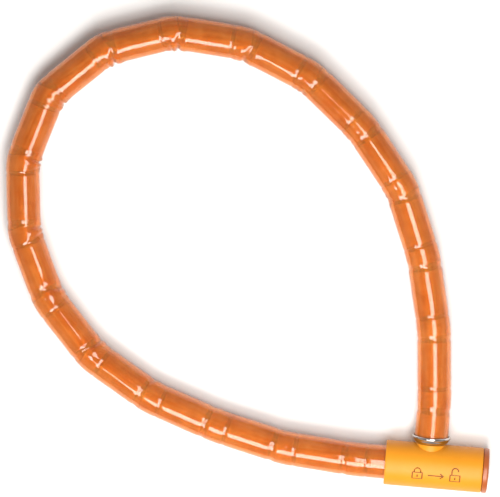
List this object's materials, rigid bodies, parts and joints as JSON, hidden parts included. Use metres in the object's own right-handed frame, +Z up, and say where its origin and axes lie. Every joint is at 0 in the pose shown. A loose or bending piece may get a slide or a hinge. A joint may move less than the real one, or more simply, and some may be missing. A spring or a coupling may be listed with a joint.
{
  "type": "armoured cable lock",
  "caption": "Armoured cable bike lock: steel shells under a glossy sleeve in a closed loop, plugged into the side of a round lock head with a key cylinder.",
  "frame": {"origin": "on the floor plane, under the middle of the closed lock's outline", "axes": "+X along the lock head towards its key end, +Y from the head across the loop, +Z up from the floor"},
  "size_m": [0.373, 0.3332, 0.033],
  "materials": {
    "sleeve": "glossy translucent orange PVC",
    "shell": "dull zinc-plated steel",
    "rope": "twisted steel wire",
    "cover": "soft-touch yellow-orange",
    "cap": "satin orange-brown",
    "chrome": "bright plated",
    "hard_steel": "hardened, ground",
    "brass": "machined"
  },
  "bodies": {
    "head": {"head_cover": "cover", "end_cap": "cap", "lock_body": "hard_steel", "cable_anchor": "hard_steel", "anchor_pin": "hard_steel", "cylinder_pin": "hard_steel", "cylinder_housing": "brass", "anchor_shell": "shell", "anchor_sleeve": "sleeve", "core_cable": "rope"},
    "key_rotor": {"rotor": "brass", "side_bar": "hard_steel", "drive_crank": "hard_steel", "lock_disc_1": "brass", "lock_disc_2": "brass", "lock_disc_3": "brass", "lock_disc_4": "brass", "lock_disc_5": "brass", "lock_disc_6": "brass"},
    "latch": {"latch_plate": "hard_steel"},
    "links_01_02": {"shell_01": "shell", "shell_02": "shell", "sleeve_01": "sleeve", "sleeve_02": "sleeve"},
    "links_03_04": {"shell_03": "shell", "shell_04": "shell", "sleeve_03": "sleeve", "sleeve_04": "sleeve"},
    "links_05_06": {"shell_05": "shell", "shell_06": "shell", "sleeve_05": "sleeve", "sleeve_06": "sleeve"},
    "links_07_08": {"shell_07": "shell", "shell_08": "shell", "sleeve_07": "sleeve", "sleeve_08": "sleeve"},
    "link_09": {"shell_09": "shell", "sleeve_09": "sleeve"},
    "links_10_11": {"shell_10": "shell", "shell_11": "shell", "sleeve_10": "sleeve", "sleeve_11": "sleeve"},
    "links_12_13": {"shell_12": "shell", "shell_13": "shell", "sleeve_12": "sleeve", "sleeve_13": "sleeve"},
    "links_14_15": {"shell_14": "shell", "shell_15": "shell", "sleeve_14": "sleeve", "sleeve_15": "sleeve"},
    "links_16_17": {"shell_16": "shell", "shell_17": "shell", "sleeve_16": "sleeve", "sleeve_17": "sleeve"},
    "plug": {"plug_shell": "shell", "plug_sleeve": "sleeve", "ferrule": "chrome", "bolt_pin": "hard_steel"}
  },
  "joints": [
    {"name": "latch_slide", "type": "slide", "parent": "head", "child": "latch", "axis": [0, 0, -1], "range_m": [0, 0.00353]},
    {"name": "key_turn", "type": "hinge", "parent": "head", "child": "key_rotor", "pos_m": [0.1685, -0.15008, 0.0165], "axis": [-1, 0, 0], "range_deg": [0, 90]},
    {"name": "plug_pull", "type": "slide", "parent": "head", "child": "plug", "axis": [0, 1, 0], "range_m": [0, 0.09], "deforming": ["core_cable"]},
    {"name": "link_joint_01", "type": "hinge", "parent": "head", "child": "links_01_02", "pos_m": [0.08788, -0.15008, 0.0165], "axis": [0, 0, -1], "range_deg": [-36, 28]},
    {"name": "link_joint_03", "type": "hinge", "parent": "links_01_02", "child": "links_03_04", "pos_m": [-0.01656, -0.13447, 0.01264], "axis": [0, 0, -1], "range_deg": [-38, 26]},
    {"name": "link_joint_05", "type": "hinge", "parent": "links_03_04", "child": "links_05_06", "pos_m": [-0.1121, -0.08992, 0.01264], "axis": [0, 0, -1], "range_deg": [-49, 15]},
    {"name": "link_joint_07", "type": "hinge", "parent": "links_05_06", "child": "links_07_08", "pos_m": [-0.16912, -0.00212, 0.01264], "axis": [0, 0, -1], "range_deg": [-51, 13]},
    {"name": "link_joint_09", "type": "hinge", "parent": "links_07_08", "child": "link_09", "pos_m": [-0.15737, 0.10109, 0.01264], "axis": [0, 0, -1], "range_deg": [-61, 3]},
    {"name": "link_joint_18", "type": "hinge", "parent": "plug", "child": "links_16_17", "pos_m": [0.143, -0.10106, 0.0165], "axis": [0, 0, 1], "range_deg": [-37, 27]},
    {"name": "link_joint_16", "type": "hinge", "parent": "links_16_17", "child": "links_14_15", "pos_m": [0.12647, 0.00331, 0.01264], "axis": [0, 0, 1], "range_deg": [-41, 23]},
    {"name": "link_joint_14", "type": "hinge", "parent": "links_14_15", "child": "links_12_13", "pos_m": [0.07399, 0.09422, 0.01264], "axis": [0, 0, 1], "range_deg": [-44, 20]},
    {"name": "link_joint_12", "type": "hinge", "parent": "links_12_13", "child": "links_10_11", "pos_m": [-0.0154, 0.14899, 0.01264], "axis": [0, 0, 1], "range_deg": [-50, 14]}
  ],
  "couplings": [
    {"joint": "key_turn", "follows": "latch_slide", "rad_per_m": 444.29},
    {"joint": "link_joint_01", "follows": "plug_pull", "rad_per_m": 2.599},
    {"joint": "link_joint_03", "follows": "plug_pull", "rad_per_m": -0.554},
    {"joint": "link_joint_05", "follows": "plug_pull", "rad_per_m": -1.497},
    {"joint": "link_joint_07", "follows": "plug_pull", "rad_per_m": -1.485},
    {"joint": "link_joint_09", "follows": "plug_pull", "rad_per_m": -0.911},
    {"joint": "link_joint_12", "follows": "plug_pull", "rad_per_m": -0.551},
    {"joint": "link_joint_14", "follows": "plug_pull", "rad_per_m": 1.571},
    {"joint": "link_joint_16", "follows": "plug_pull", "rad_per_m": 2.757},
    {"joint": "link_joint_18", "follows": "plug_pull", "rad_per_m": -1.929}
  ]
}
